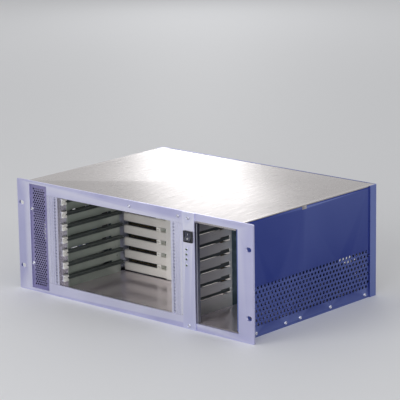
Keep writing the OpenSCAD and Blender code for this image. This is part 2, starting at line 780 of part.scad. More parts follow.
// Cover with a flange down at the front and the rear, and a tab in a notch of each wall.
module top_cover() {
  w = body_w - 2 * flange_w - 3;
  color([0.62, 0.61, 0.62]) {
    difference() {
      side_plate(-w / 2, w) translate([y_back, body_h]) mirror([0, 1])
        channel_2d(y_inner - y_back, flange_w + sheet_t, sheet_t);
      for (x = concat(front_screw_x, [x_switch])) translate([x, y_back - 1, bar_screw_z]) rotate([-90, 0, 0])
        cylinder(d = hole_d, h = sheet_t + 2);
    }
    for (s = [0, 1]) mirror([s, 0, 0]) {
      level_plate(z_top, sheet_t) area(w / 2 - eps, y_back, body_w / 2, y_inner - fold_r);
      side_plate(x_wall, sheet_t) area(y_back + tab_y - tab_w / 2, z_top - tab_h, y_back + tab_y + tab_w / 2, z_top + eps);
    }
  }
}

// Rear frame with two openings, wrapped round the rear of the side walls.
module rear_frame() {
  w = body_w + 2 * base_t;
  color([0.35, 0.45, 0.55]) {
    difference() {
      level_plate(0, body_h) translate([-w / 2, y_rear]) mirror([0, 1]) channel_2d(w, rear_wrap, base_t);
      translate([0, y_inner - 1, 0]) rear_cut(card_open, 0);
      translate([0, y_inner - 1, 0]) rear_cut(bay_open, 0);
      for (p = rear_screw_at) translate([p[0], y_inner - 1, p[1]]) rotate([-90, 0, 0])
        cylinder(d = hole_d, h = base_t + 2);
    }
  }
}
card_open = [x_left + 2, x_right - 2];
bay_open = [x_bay - 14, body_w / 2 - 20];
rear_screw_at = [for (o = [card_open, bay_open], x = [o[0] - rear_lap / 2, o[1] + rear_lap / 2],
  z = [rear_edge + 4, z_mid, body_h - rear_edge - 4]) [x, z]];
module rear_cut(o, grow) {
  front_plate(0, base_t + 2) area(o[0] - grow, rear_edge - grow, o[1] + grow, body_h - rear_edge + grow);
}

module rear_panel(o) {
  front_plate(y_rear, rear_t) difference() {
    area(o[0] - rear_lap, rear_edge - rear_lap, o[1] + rear_lap, body_h - rear_edge + rear_lap);
    for (p = rear_screw_at) translate(p) circle(d = hole_d);
    children();
  }
}
module rear_card_panel() { color([0.6, 0.62, 0.68]) rear_panel(card_open); }

// The bay's rear panel has the cut-out and screw holes of a mains inlet.
module rear_bay_panel() {
  mid = (bay_open[0] + bay_open[1]) / 2;
  color([0.6, 0.62, 0.68]) rear_panel(bay_open) translate([mid, inlet_z]) {
    square([inlet_w, inlet_h], center = true);
    for (i = [-1, 1]) translate([i * inlet_holes / 2, 0]) circle(d = inlet_hole_d);
  }
}
inlet_z = 50;
inlet_hole_d = 3.5;

module rear_screws() {
  color("silver") for (p = rear_screw_at) translate([p[0], y_rear + rear_t, p[1]])
    mirror([0, 1, 0]) screw_y(screw_l - 2);
}

// Upright plate with two round openings that carries the fans.
module fan_plate() {
  y0 = fan_mid(0) - fan_w / 2 - 4;
  y1 = fan_mid(1) + fan_w / 2 + 12;
  color([0.6, 0.62, 0.66]) {
    side_plate(x_fan_plate, sheet_t) difference() {
      area(y0, base_t + fold_r + sheet_t, y1, z_top - fold_r - sheet_t);
      for (i = [0, 1]) translate([fan_mid(i), fan_z]) {
        circle(d = duct_d);
        fan_holes_2d();
      }
    }
    for (m = [0, 1]) translate([0, 0, m * (z_top + base_t)]) mirror([0, 0, m])
      front_plate(y0, y1 - y0) translate([x_fan_plate + sheet_t, base_t]) mirror([1, 0])
        fold_2d(flange_w, fold_r + sheet_t + eps, sheet_t);
  }
}
module fan_holes_2d() {
  for (i = [-1, 1], j = [-1, 1]) translate([i, j] * fan_holes / 2) circle(d = fan_hole_d);
}
fan_hole_d = 4.3;

// Places a fan drawn along +z, with its outlet face on the fan plate.
module at_fan(i) {
  translate([x_fan_plate - fan_d, fan_mid(i), fan_z]) rotate([0, 90, 0]) children();
}

// Fan frame: round duct, two square flanges, and the stator on three struts.
module fan_frame() {
  z_strut = fan_d - strut_in - strut_t;
  difference() {
    union() {
      for (z = [0, fan_d - fan_flange]) translate([0, 0, z]) linear_extrude(fan_flange) difference() {
        round_area(fan_w, fan_w, 5);
        fan_holes_2d();
      }
      cylinder(d = duct_d + 3, h = fan_d);
    }
    translate([0, 0, -1]) cylinder(d = duct_d, h = fan_d + 2);
  }
  difference() {
    union() {
      translate([0, 0, 7]) cylinder(d = stator_d, h = z_strut - 7 + eps);
      translate([0, 0, z_strut]) cylinder(d = hub_d, h = strut_t);
      for (a = [30, 150, 270]) rotate(a) translate([hub_d / 2 - 1, -2.5, z_strut]) cube([duct_d / 2 - hub_d / 2 + 1.5, 5, strut_t]);
    }
    translate([0, 0, 6]) cylinder(d = shaft_d + 2 * run_gap, h = z_strut - 5);
  }
}
module front_fan_frame() { color([0.13, 0.13, 0.14]) at_fan(0) fan_frame(); }
module rear_fan_frame() { color([0.13, 0.13, 0.14]) at_fan(1) fan_frame(); }

// Rotor: a cup round the stator, its shaft, and cambered blades cut from a tube that lies along
// each blade's radius.
module fan_rotor() {
  z_top_cup = fan_d - strut_in - strut_t - 1;
  tip_r = duct_d / 2 - tip_gap;
  difference() {
    translate([0, 0, 2]) cylinder(d = hub_d, h = z_top_cup - 2);
    translate([0, 0, 5]) cylinder(d = stator_d + 3, h = fan_d);
  }
  translate([0, 0, 4]) cylinder(d = shaft_d, h = z_top_cup - 5);
  for (k = [0:blades - 1]) rotate(k * 360 / blades) intersection() {
    difference() {
      translate([0, 0, 3]) cylinder(r = tip_r, h = z_top_cup - 4);
      cylinder(d = hub_d - 2, h = fan_d);
    }
    translate([0, -blade_camber * sin(35), z_top_cup / 2 + 1 - blade_camber * cos(35)]) rotate([0, 90, 0]) difference() {
      cylinder(r = blade_camber + 0.9, h = tip_r);
      cylinder(r = blade_camber - 0.9, h = tip_r + 1);
    }
    translate([0, -2, 0]) cube([tip_r, 24, fan_d]);
  }
}
blade_camber = 26;
module front_fan_rotor() { color([0.18, 0.18, 0.2]) at_fan(0) fan_rotor(); }
module rear_fan_rotor() { color([0.18, 0.18, 0.2]) at_fan(1) fan_rotor(); }

// Screws from the plate into the fans' flanges.
module fan_screws() {
  color("silver") for (i = [0, 1]) at_fan(i) for (a = [-1, 1], b = [-1, 1])
    translate([a * fan_holes / 2, b * fan_holes / 2, fan_d + sheet_t]) rotate([-90, 0, 0]) screw_y(sheet_t + fan_flange + 1);
}

front_frame();
vent_grille();
grille_screws();
control_strip();
strip_screws();
front_screws();
switch_housing();
switch_rocker();
indicator_lenses();
indicator_board();
board_spacers();
left_front_rail();
right_front_rail();
left_tapped_strip();
right_tapped_strip();
left_cage_wall();
right_cage_wall();
left_guide_post();
right_guide_post();
left_card_guides();
right_card_guides();
left_guide_noses();
right_guide_noses();
cage_floor();
bay_floor();
bay_return_angle();
left_backplane_bracket();
right_backplane_bracket();
backplane_board();
channel_bars();
tie_straps();
edge_sockets();
power_sockets();
coding_blocks();
backplane_screws();
base_tray();
left_side_wall();
right_side_wall();
wall_screws();
top_cover();
rear_frame();
rear_card_panel();
rear_bay_panel();
rear_screws();
fan_plate();
front_fan_frame();
rear_fan_frame();
front_fan_rotor();
rear_fan_rotor();
fan_screws();
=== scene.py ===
"""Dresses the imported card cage: finishes, rounded edges, small fittings, studio light and camera.

All lengths are in metres in the part's own frame: X to the right, Y from the front frame to the
rear, Z up, with the origin in the middle of the base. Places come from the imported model's boxes.
"""

from __future__ import annotations

import json
import logging
import math
from dataclasses import dataclass, field
from enum import Enum
from typing import Any, Sequence

import bmesh
import bpy
import numpy as np
from mathutils import Matrix, Vector


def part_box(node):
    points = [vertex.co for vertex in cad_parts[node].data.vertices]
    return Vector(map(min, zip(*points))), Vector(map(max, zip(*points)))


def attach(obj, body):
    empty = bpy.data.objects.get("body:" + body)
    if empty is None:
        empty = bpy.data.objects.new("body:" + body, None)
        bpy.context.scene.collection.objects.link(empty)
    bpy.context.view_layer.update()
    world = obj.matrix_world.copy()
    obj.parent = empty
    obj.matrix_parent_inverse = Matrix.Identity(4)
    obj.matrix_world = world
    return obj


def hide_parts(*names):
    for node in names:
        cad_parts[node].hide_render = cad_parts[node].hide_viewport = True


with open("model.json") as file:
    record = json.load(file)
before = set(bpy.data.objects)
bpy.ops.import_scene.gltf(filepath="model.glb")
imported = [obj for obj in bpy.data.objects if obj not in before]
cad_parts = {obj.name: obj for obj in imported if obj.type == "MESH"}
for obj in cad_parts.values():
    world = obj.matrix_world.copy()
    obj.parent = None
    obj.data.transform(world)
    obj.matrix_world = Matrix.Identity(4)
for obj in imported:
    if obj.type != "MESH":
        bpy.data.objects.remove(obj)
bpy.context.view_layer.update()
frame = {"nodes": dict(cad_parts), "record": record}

log = logging.getLogger("card_cage")
MM = 0.001
CHASSIS = "chassis"
# Colour sockets of a Mix node: its two inputs and its output.
MIX_A, MIX_B, MIX_OUT = 6, 7, 2
# Stretches of a texture's value, or of an edge's sharpness, that a finish is drawn over.
CLOUD_BAND = (0.35, 0.7)
GRAIN_BAND = (0.3, 0.7)
DUST_BAND = (0.4, 0.75)
TRACK_BAND = (0.45, 0.55)
RUB_BAND = (0.54, 0.62)
# How far the palest rubbed edge goes over to the wear colour.
RUB_MOST = 0.6


class Grain(Enum):
    """How a sheet's surface was worked, as stretch factors of its grain along X, Y and Z."""

    ROLLED_X = (0.04, 1.0, 1.0)
    ROLLED_Y = (1.0, 0.04, 1.0)
    ROLLED_Z = (1.0, 1.0, 0.04)
    BLASTED = (1.0, 1.0, 1.0)


# ---------------------------------------------------------------- colours and shader nodes


def linear(code: str) -> tuple[float, float, float, float]:
    """Turns an sRGB hex colour into linear RGBA.

    Args:
        code: six hex digits.

    Returns:
        The colour's linear red, green and blue, and an alpha of one.
    """
    parts = [int(code[i : i + 2], 16) / 255 for i in (0, 2, 4)]
    red, green, blue = (p / 12.92 if p <= 0.04045 else ((p + 0.055) / 1.055) ** 2.4 for p in parts)
    return (red, green, blue, 1.0)


def add_node(
    tree: bpy.types.NodeTree,
    kind: str,
    settings: dict[str, Any] | None = None,
    links: dict[str | int, bpy.types.NodeSocket] | None = None,
    **sockets: Any,
) -> bpy.types.Node:
    """Adds one shader node.

    Args:
        tree: the material's or world's node tree.
        kind: the node's type name.
        settings: attributes of the node itself.
        links: input sockets, by name or number, and the outputs that feed them.
        **sockets: values of the node's own inputs, with underscores for spaces.

    Returns:
        The new node.
    """
    node = tree.nodes.new(kind)
    for key, value in (settings or {}).items():
        setattr(node, key, value)
    for key, value in sockets.items():
        node.inputs[key.replace("_", " ")].default_value = value
    for key, source in (links or {}).items():
        tree.links.new(source, node.inputs[key])
    return node


def start_material(name: str) -> tuple[bpy.types.Material, bpy.types.NodeTree, bpy.types.NodeSocket]:
    """Makes an empty material.

    Args:
        name: the finish's name.

    Returns:
        The material, its node tree and the Object coordinates.
    """
    material = bpy.data.materials.new(name)
    material.use_nodes = True
    tree = material.node_tree
    tree.nodes.clear()
    place = add_node(tree, "ShaderNodeTexCoord")
    return material, tree, place.outputs["Object"]


def per_mm(size_mm: float) -> float:
    """Returns the texture scale that makes one feature size_mm across."""
    return 1.0 / (size_mm * MM)


@dataclass(frozen=True)
class MetalFinish:
    """Sheet metal or a section, with a rolled or blasted grain, cloudy tone and worn edges.

    Attributes:
        name: what the metal and its treatment are called.
        colour: sRGB hex colour of the surface.
        cloud: sRGB hex colour of its slow tone changes.
        wear: sRGB hex colour where edges are rubbed.
        rough: lowest and highest roughness.
        grain: direction of the grain.
        grain_mm: width of a grain line.
        depth_mm: height of the grain.
        cloud_mm: size of a cloud of tone.
        metallic: how much of it reflects as bare metal.
    """

    name: str
    colour: str
    cloud: str
    wear: str
    rough: tuple[float, float]
    grain: Grain
    grain_mm: float = 1.2
    depth_mm: float = 0.02
    cloud_mm: float = 90.0
    metallic: float = 1.0

    def build(self) -> bpy.types.Material:
        """Builds the finish.

        Returns:
            The material: grain drives bump and roughness, clouds drive tone, edges show wear.
        """
        material, tree, place = start_material(self.name)
        turned = add_node(tree, "ShaderNodeMapping", links={"Vector": place}, Scale=self.grain.value)
        lines = add_node(
            tree, "ShaderNodeTexNoise", links={"Vector": turned.outputs[0]},
            Scale=per_mm(self.grain_mm), Detail=3.0, Roughness=0.6,
        )
        clouds = add_node(
            tree, "ShaderNodeTexNoise", links={"Vector": place}, Scale=per_mm(self.cloud_mm), Detail=2.0,
        )
        tone = add_node(
            tree, "ShaderNodeMapRange", links={"Value": clouds.outputs[0]},
            From_Min=CLOUD_BAND[0], From_Max=CLOUD_BAND[1],
        )
        base = add_node(tree, "ShaderNodeMix", {"data_type": "RGBA"}, {0: tone.outputs[0]})
        base.inputs[MIX_A].default_value = linear(self.colour)
        base.inputs[MIX_B].default_value = linear(self.cloud)
        shape = add_node(tree, "ShaderNodeNewGeometry")
        edge = add_node(
            tree, "ShaderNodeMapRange", links={"Value": shape.outputs["Pointiness"]},
            From_Min=RUB_BAND[0], From_Max=RUB_BAND[1], To_Max=RUB_MOST,
        )
        worn = add_node(
            tree, "ShaderNodeMix", {"data_type": "RGBA"},
            {0: edge.outputs[0], MIX_A: base.outputs[MIX_OUT]},
        )
        worn.inputs[MIX_B].default_value = linear(self.wear)
        gloss = add_node(
            tree, "ShaderNodeMapRange", links={"Value": lines.outputs[0]},
            From_Min=GRAIN_BAND[0], From_Max=GRAIN_BAND[1],
            To_Min=self.rough[0], To_Max=self.rough[1],
        )
        relief = add_node(
            tree, "ShaderNodeBump", links={"Height": lines.outputs[0]}, Strength=0.5,
            Distance=self.depth_mm * MM,
        )
        shader = add_node(
            tree, "ShaderNodeBsdfPrincipled",
            links={
                "Base Color": worn.outputs[MIX_OUT], "Roughness": gloss.outputs[0],
                "Normal": relief.outputs[0],
            },
            Metallic=self.metallic,
        )
        add_node(tree, "ShaderNodeOutputMaterial", links={"Surface": shader.outputs[0]})
        return material


@dataclass(frozen=True)
class PlasticFinish:
    """Moulded plastic with a fine spark-eroded grain.

    Attributes:
        name: what the plastic is called.
        colour: sRGB hex colour.
        shade: sRGB hex colour of the handled and dusty places.
        rough: lowest and highest roughness.
        grain_mm: size of the mould's grain, drawn coarse enough to show.
        depth_mm: height of that grain.
        transmission: how clear the plastic is.
        coat: weight of a polished skin.
    """

    name: str
    colour: str
    shade: str
    rough: tuple[float, float]
    grain_mm: float = 0.8
    depth_mm: float = 0.03
    transmission: float = 0.0
    coat: float = 0.0

    def build(self) -> bpy.types.Material:
        """Builds the finish.

        Returns:
            The material: grain in bump and roughness, slow tone changes in colour.
        """
        material, tree, place = start_material(self.name)
        grit = add_node(
            tree, "ShaderNodeTexNoise", links={"Vector": place}, Scale=per_mm(self.grain_mm), Detail=2.0,
        )
        dust = add_node(tree, "ShaderNodeTexNoise", links={"Vector": place}, Scale=per_mm(14.0), Detail=4.0)
        amount = add_node(
            tree, "ShaderNodeMapRange", links={"Value": dust.outputs[0]},
            From_Min=DUST_BAND[0], From_Max=DUST_BAND[1],
        )
        base = add_node(tree, "ShaderNodeMix", {"data_type": "RGBA"}, {0: amount.outputs[0]})
        base.inputs[MIX_A].default_value = linear(self.colour)
        base.inputs[MIX_B].default_value = linear(self.shade)
        gloss = add_node(
            tree, "ShaderNodeMapRange", links={"Value": grit.outputs[0]},
            From_Min=GRAIN_BAND[0], From_Max=GRAIN_BAND[1],
            To_Min=self.rough[0], To_Max=self.rough[1],
        )
        relief = add_node(
            tree, "ShaderNodeBump", links={"Height": grit.outputs[0]}, Strength=0.4,
            Distance=self.depth_mm * MM,
        )
        shader = add_node(
            tree, "ShaderNodeBsdfPrincipled",
            links={
                "Base Color": base.outputs[MIX_OUT], "Roughness": gloss.outputs[0],
                "Normal": relief.outputs[0],
            },
            IOR=1.5, Transmission_Weight=self.transmission, Coat_Weight=self.coat, Coat_Roughness=0.08,
        )
        add_node(tree, "ShaderNodeOutputMaterial", links={"Surface": shader.outputs[0]})
        return material


@dataclass(frozen=True)
class BoardFinish:
    """Lacquered glass-fibre circuit board: tracks under green lacquer on a woven laminate."""

    name: str = "lacquered_circuit_board"
    lacquer: str = "1F5A3A"
    track: str = "2F7A4C"
    weave_mm: float = 0.9
    track_mm: float = 2.54
    rough: tuple[float, float] = (0.25, 0.4)

    def build(self) -> bpy.types.Material:
        """Builds the finish.

        Returns:
            The material: bands of tracks on the terminal pitch, and the weave as bump.
        """
        material, tree, place = start_material(self.name)
        tracks = add_node(
            tree, "ShaderNodeTexWave", {"bands_direction": "X"}, {"Vector": place},
            Scale=per_mm(self.track_mm) / 20, Distortion=0.6, Detail=1.0,
        )
        step = add_node(
            tree, "ShaderNodeMapRange", links={"Value": tracks.outputs[1]},
            From_Min=TRACK_BAND[0], From_Max=TRACK_BAND[1],
        )
        base = add_node(tree, "ShaderNodeMix", {"data_type": "RGBA"}, {0: step.outputs[0]})
        base.inputs[MIX_A].default_value = linear(self.lacquer)
        base.inputs[MIX_B].default_value = linear(self.track)
        weave = add_node(
            tree, "ShaderNodeTexVoronoi", links={"Vector": place}, Scale=per_mm(self.weave_mm),
        )
        gloss = add_node(
            tree, "ShaderNodeMapRange", links={"Value": weave.outputs[0]},
            To_Min=self.rough[0], To_Max=self.rough[1],
        )
        relief = add_node(
            tree, "ShaderNodeBump", links={"Height": weave.outputs[0]}, Strength=0.3, Distance=0.02 * MM,
        )
        shader = add_node(
            tree, "ShaderNodeBsdfPrincipled",
            links={
                "Base Color": base.outputs[MIX_OUT], "Roughness": gloss.outputs[0],
                "Normal": relief.outputs[0],
            },
            IOR=1.5, Coat_Weight=0.4, Coat_Roughness=0.15,
        )
        add_node(tree, "ShaderNodeOutputMaterial", links={"Surface": shader.outputs[0]})
        return material


# Clear-anodised aluminium, rolled across: a pale satin skin on bars and ears, its slight lilac a painted
# reflection of the blue surroundings.
FRONT_ANODISED = MetalFinish(
    "satin_anodised_front", "B9B9DC", "CBCBE8", "E4E4F2", (0.30, 0.42), Grain.ROLLED_X,
)
# The same aluminium on the proud strip, a shade brighter: painted light, the stronger light on the strip put
# into its colour, with the same lilac painted reflection; its grain runs upright.
STRIP_ANODISED = MetalFinish(
    "satin_anodised_strip", "C6C7E6", "D5D6EE", "EEEEF8", (0.28, 0.38), Grain.ROLLED_Z,
)
# Punched aluminium, a darker copy of the front's: painted shade, the shade of the recessed perforated field
# put into its colour, and its lilac a painted reflection of the blue surroundings.
GRILLE_ANODISED = MetalFinish(
    "punched_anodised_grille", "7F7BA8", "9590B8", "B6B2D2", (0.36, 0.5), Grain.BLASTED, cloud_mm=40.0,
)
# Extruded aluminium, chemically polished: bright, with long die lines; its lilac is a painted reflection of
# the blue surroundings.
RAIL_EXTRUDED = MetalFinish(
    "polished_extruded_rail", "D3D3EA", "BFBFDA", "F2F2FA", (0.2, 0.32), Grain.ROLLED_Z, grain_mm=0.8,
)
# Rolled steel side walls, deep cold blue: painted reflection, the blue surroundings that the bare sheet
# mirrors put into its colour, clouds and worn edges.
WALL_PAINTED_BLUE_REFLECTION = MetalFinish(
    "wall_painted_blue_reflection", "3A478F", "2C3B86", "8C9AD0", (0.3, 0.44), Grain.ROLLED_Y, cloud_mm=120.0,
)
# Rolled aluminium cover: warm grey, brushed from front to rear.
COVER_BRUSHED = MetalFinish(
    "brushed_aluminium_cover", "989393", "A49F9F", "D0CCCC", (0.24, 0.34), Grain.ROLLED_Y,
    grain_mm=1.6, cloud_mm=150.0,
)
# Zinc on the cage's inner parts, near-white and mostly diffuse: painted light, the strong light on the right
# wall, the bars and the straps put into its colour.
CAGE_WHITE_PAINTED_LIGHT = MetalFinish(
    "cage_metal_painted_light", "F3EFE8", "E4E0DC", "FFFFFF", (0.26, 0.4), Grain.ROLLED_Y, cloud_mm=60.0,
    metallic=0.2,
)
# The same zinc on the left wall, grey with a faint green cast: painted shade, the shade inside the cage put
# into its colour.
CAGE_GREY_PAINTED_SHADE = MetalFinish(
    "cage_metal_painted_shade", "96A098", "848E88", "C9D0C9", (0.34, 0.5), Grain.ROLLED_Y, cloud_mm=45.0,
    metallic=0.35,
)
# Polished floor sheet: it mirrors what stands on it.
FLOOR_POLISHED = MetalFinish(
    "polished_floor_sheet", "B4A8AE", "A89DA4", "DCD4D8", (0.1, 0.2), Grain.ROLLED_Y,
    depth_mm=0.006, cloud_mm=70.0, metallic=0.6,
)
# Plain zinc-plated steel for brackets, tray and fan plate.
ZINC_STEEL = MetalFinish(
    "zinc_plated_steel", "9A9CA6", "878A98", "C9CBD4", (0.3, 0.45), Grain.BLASTED, cloud_mm=30.0,
)
# Turned and plated screws.
SCREW_STEEL = MetalFinish(
    "plated_screw_steel", "C9CAD6", "B4B6C4", "F0F0F6", (0.18, 0.3), Grain.BLASTED, grain_mm=0.4,
)
# Gold flash on the socket contacts.
CONTACT_GOLD = MetalFinish(
    "gold_flashed_contact", "E2B45A", "D1A04A", "F4D68A", (0.2, 0.3), Grain.BLASTED, grain_mm=0.3,
)
# Guide posts, dark blue-green: painted shade, the deep shade they stand in behind the wall put into their
# colour.
POST_PAINTED_SHADE = MetalFinish(
    "post_painted_shade", "35474F", "2B3A44", "6A7C86", (0.35, 0.5), Grain.ROLLED_Z,
)
BLACK_NYLON = PlasticFinish("black_glass_filled_nylon", "17181B", "26272B", (0.42, 0.58))
ROCKER_BLACK = PlasticFinish("polished_rocker_plastic", "10162E", "1A2144", (0.18, 0.28), coat=0.5)
# Card guide plastic, dark grey: partly its own colour, partly painted shade that makes the wall slots read
# black where the guides show through.
GUIDE_PLASTIC = PlasticFinish("dark_guide_plastic", "4A5150", "5A6160", (0.4, 0.55))
NOSE_WHITE = PlasticFinish("ivory_guide_nose", "F1F0EC", "DAD8D0", (0.34, 0.46))
MARK_WHITE = PlasticFinish("printed_switch_mark", "E8E8E8", "D4D4D4", (0.4, 0.5))
LENS_GREEN = PlasticFinish("tinted_lens", "4A6B4A", "3A583A", (0.1, 0.16), transmission=0.35, coat=0.6)
CIRCUIT_BOARD = BoardFinish()
_built: dict[str, bpy.types.Material] = {}


def material_of(finish: MetalFinish | PlasticFinish | BoardFinish) -> bpy.types.Material:
    """Returns the finish's material, built once."""
    if finish.name not in _built:
        _built[finish.name] = finish.build()
    return _built[finish.name]


# ---------------------------------------------------------------- surfaces


@dataclass
class Surface:
    """Points and four-sided faces of a piece.

    Attributes:
        points: one row of X, Y and Z for each point.
        quads: four point numbers for each face.
    """

    points: np.ndarray
    quads: np.ndarray

    def at(self, places: np.ndarray) -> "Surface":
        """Returns copies of the surface, one moved to each place."""
        count = len(self.points)
        points = (self.points[None] + np.atleast_2d(places)[:, None]).reshape(-1, 3)
        shift = np.arange(len(np.atleast_2d(places)))[:, None, None] * count
        return Surface(points, (self.quads[None] + shift).reshape(-1, 4))

    def turned(self, outward: Sequence[float]) -> "Surface":
        """Returns the surface with its +Z turned to the given direction.

        Args:
            outward: the new direction of +Z.

        Returns:
            The turned surface.
        """
        turn = Vector((0, 0, 1)).rotation_difference(Vector(outward)).to_matrix()
        return Surface(self.points @ np.array(turn).T, self.quads)


def joined(parts: Sequence[Surface]) -> Surface:
    """Joins surfaces into one.

    Args:
        parts: the surfaces.

    Returns:
        One surface with all their points and faces.
    """
    starts = np.cumsum([0] + [len(p.points) for p in parts[:-1]])
    return Surface(
        np.vstack([p.points for p in parts]),
        np.vstack([p.quads + s for p, s in zip(parts, starts)]),
    )


def grid(points: np.ndarray, wrap_rows: bool = False, wrap_cols: bool = False) -> Surface:
    """Joins a grid of points by quads: each one joins (i, j), (i, j+1), (i+1, j+1) and (i+1, j).

    Args:
        points: rows by columns by three.
        wrap_rows: whether the last row meets the first.
        wrap_cols: whether the last column meets the first.

    Returns:
        The surface.
    """
    rows, cols = points.shape[:2]
    i = np.arange(rows if wrap_rows else rows - 1)[:, None]
    j = np.arange(cols if wrap_cols else cols - 1)[None]
    down, across = (i + 1) % rows, (j + 1) % cols
    corners = [i * cols + j, i * cols + across, down * cols + across, down * cols + j]
    quads = np.stack([np.broadcast_to(c, (i.size, j.size)) for c in corners], axis=-1)
    return Surface(points.reshape(-1, 3), quads.reshape(-1, 4))


def revolved(profile: Sequence[tuple[float, float]], steps: int) -> Surface:
    """Turns a profile about Z: the point (r, z) at angle a lands on (r cos a, r sin a, z).

    Args:
        profile: radius and height of each profile point, from one pole or rim to the other.
        steps: how many angles there are.

    Returns:
        The closed surface of revolution.
    """
    line = np.array(profile)
    angle = np.arange(steps) * 2 * np.pi / steps
    radius, height = line[:, 0][:, None], line[:, 1][:, None]
    points = np.stack(
        [radius * np.cos(angle), radius * np.sin(angle), np.broadcast_to(height, (len(line), steps))], -1
    )
    return grid(points, wrap_cols=True)


def rounded_block(size: Sequence[float], radius: float, steps: int = 2) -> Surface:
    """A box with round edges: each unit direction n gives sign(n) (half - radius) + radius n.

    Args:
        size: lengths along X, Y and Z.
        radius: radius of the edges.
        steps: how many faces go round a quarter of an edge.

    Returns:
        The closed surface, centred on the origin.
    """
    half = np.array(size) / 2 - radius
    quarter = np.linspace(0, np.pi / 2, steps + 1)
    around = np.concatenate([quarter + k * np.pi / 2 for k in range(4)])
    signs = np.repeat(np.array([[1, 1], [-1, 1], [-1, -1], [1, -1]]), steps + 1, axis=0)
    height = np.concatenate([quarter - np.pi / 2, quarter])
    top = np.repeat([-1, 1], steps + 1)
    points = np.stack(
        [
            signs[:, 0] * half[0] + radius * np.cos(height)[:, None] * np.cos(around),
            signs[:, 1] * half[1] + radius * np.cos(height)[:, None] * np.sin(around),
            (top * half[2] + radius * np.sin(height))[:, None] + np.zeros(len(around)),
        ],
        -1,
    )
    shell = grid(points, wrap_cols=True)
    corner = np.arange(4) * (steps + 1)
    last = (len(height) - 1) * len(around)
    return Surface(shell.points, np.vstack([shell.quads, corner[::-1], last + corner]))


def finished_mesh(name: str, surface: Surface) -> bpy.types.Mesh:
    """Makes a mesh with its doubles merged and its faces pointing outwards.

    Args:
        name: the mesh's name.
        surface: its points and faces.

    Returns:
        The mesh.
    """
    mesh = bpy.data.meshes.new(name)
    mesh.vertices.add(len(surface.points))
    mesh.vertices.foreach_set("co", surface.points.astype(np.float32).ravel())
    mesh.loops.add(surface.quads.size)
    mesh.loops.foreach_set("vertex_index", surface.quads.astype(np.int32).ravel())
    mesh.polygons.add(len(surface.quads))
    mesh.polygons.foreach_set("loop_start", np.arange(0, surface.quads.size, 4, dtype=np.int32))
    mesh.update(calc_edges=True)
    work = bmesh.new()
    work.from_mesh(mesh)
    bmesh.ops.remove_doubles(work, verts=work.verts, dist=1e-7)
    bmesh.ops.dissolve_degenerate(work, edges=work.edges, dist=1e-7)
    bmesh.ops.recalc_face_normals(work, faces=work.faces)
    work.to_mesh(mesh)
    work.free()
    return mesh


def place_piece(
    name: str,
    mesh: bpy.types.Mesh,
    finish: MetalFinish | PlasticFinish | BoardFinish,
    body: str = CHASSIS,
    replaces: Sequence[str] = (),
    smooth_deg: float = 35.0,
) -> bpy.types.Object:
    """Adds a piece to the scene, finished and riding on its body.

    Args:
        name: the piece's name.
        mesh: its mesh.
        finish: its finish.
        body: the body it moves with.
        replaces: CAD nodes that it stands for.
        smooth_deg: edges flatter than this are shaded smooth.

    Returns:
        The piece.
    """
    piece = bpy.data.objects.new(name, mesh)
    bpy.context.scene.collection.objects.link(piece)
    mesh.materials.clear()
    mesh.materials.append(material_of(finish))
    mesh.shade_smooth()
    mesh.set_sharp_from_angle(angle=math.radians(smooth_deg))
    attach(piece, body)
    if replaces:
        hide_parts(*replaces)
    log.info("%s: %d faces on %s", name, len(mesh.polygons), body)
    return piece


def merged_copy(node: str, flat_deg: float = 1.0) -> bpy.types.Mesh:
    """Copies a CAD node's mesh with its doubles merged and its flat faces whole.

    Args:
        node: the CAD node.
        flat_deg: faces that meet flatter than this are joined.

    Returns:
        The copied mesh.
    """
    mesh = frame["nodes"][node].data.copy()
    mesh.name = node + "_copy"
    work = bmesh.new()
    work.from_mesh(mesh)
    bmesh.ops.remove_doubles(work, verts=work.verts, dist=2e-6)
    bmesh.ops.dissolve_limit(
        work, angle_limit=math.radians(flat_deg), verts=work.verts, edges=work.edges
    )
    work.to_mesh(mesh)
    work.free()
    return mesh


def round_edges(piece: bpy.types.Object, width_mm: float, steps: int = 2, angle_deg: float = 40.0) -> None:
    """Rounds a piece's edges with a live Bevel.

    Args:
        piece: the piece.
        width_mm: width of the rounding.
        steps: faces across it.
        angle_deg: only edges sharper than this are rounded.
    """
    bevel = piece.modifiers.new("edges", "BEVEL")
    bevel.width = width_mm * MM
    bevel.segments = steps
    bevel.limit_method = "ANGLE"
    bevel.angle_limit = math.radians(angle_deg)
    bevel.harden_normals = True


def islands(node: str) -> np.ndarray:
    """Finds the loose parts of a CAD node.

    Args:
        node: the CAD node.

    Returns:
        For each loose part, its lowest and highest corner: parts by two by three.
    """
    work = bmesh.new()
    work.from_mesh(frame["nodes"][node].data)
    bmesh.ops.remove_doubles(work, verts=work.verts, dist=2e-6)
    left, boxes = set(work.verts), []
    while left:
        front, found = [left.pop()], []
        while front:
            point = front.pop()
            found.append(point.co[:])
            near = {e.other_vert(point) for e in point.link_edges} & left
            left -= near
            front.extend(near)
        boxes.append([np.min(found, axis=0), np.max(found, axis=0)])
    work.free()
    return np.array(boxes)


def dress(finish: MetalFinish | PlasticFinish | BoardFinish, *nodes: str) -> None:
    """Gives CAD nodes a finish.

    Args:
        finish: the finish.
        *nodes: the nodes.
    """
    for node in nodes:
        mesh = frame["nodes"][node].data
        for number in range(len(mesh.materials)):
            mesh.materials[number] = material_of(finish)
        log.info("%s: %s", node, finish.name)


def rounded_node(
    node: str, finish: MetalFinish | PlasticFinish | BoardFinish, width_mm: float, body: str = CHASSIS
) -> bpy.types.Object:
    """Replaces a CAD node by a copy of itself with round edges.

    Args:
        node: the CAD node.
        finish: the copy's finish.
        width_mm: width of the rounding.
        body: the body it moves with.

    Returns:
        The piece that stands for the node.
    """
    piece = place_piece(node + "_rounded", merged_copy(node), finish, body, [node])
    round_edges(piece, width_mm)
    return piece


# ---------------------------------------------------------------- fasteners


